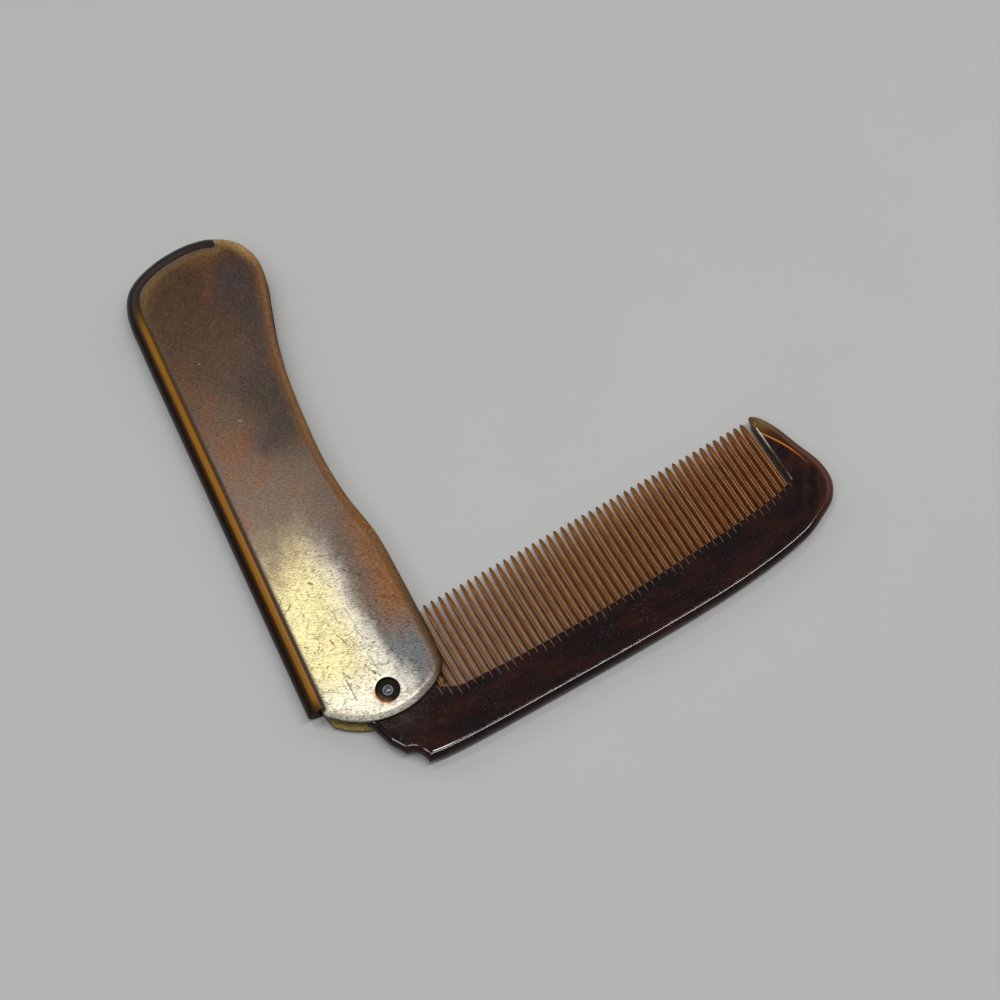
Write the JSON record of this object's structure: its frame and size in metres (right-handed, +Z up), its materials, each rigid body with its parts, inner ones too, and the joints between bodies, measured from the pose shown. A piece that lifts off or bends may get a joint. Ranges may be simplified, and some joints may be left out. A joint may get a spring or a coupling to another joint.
{
  "type": "folding comb",
  "caption": "Folding pocket comb: a curved two-plate plastic case with a slot, and a fine-toothed comb that turns out of it on a rivet.",
  "frame": {"origin": "middle of the case's underside, which is the face that lies on a table", "axes": "+Z up through the case's thickness, +Y along the case from the rivet end to the closed end, +X to the case's open side"},
  "size_m": [0.1108, 0.1185, 0.0062],
  "materials": {
    "amber_plastic": "tortoiseshell amber plastic with a worn satin bronze sheen",
    "dark_brown_plastic": "polished translucent burgundy brown plastic",
    "steel": "darkened steel pin with polished domed ends"
  },
  "bodies": {
    "case": {"case": "amber_plastic", "rivet": "steel"},
    "comb": {"comb": "dark_brown_plastic"}
  },
  "joints": [
    {"name": "comb_fold", "type": "hinge", "parent": "case", "child": "comb", "pos_m": [0.0012, -0.049, 0.0031], "axis": [0, 0, 1], "range_deg": [-95, 85.25]}
  ]
}
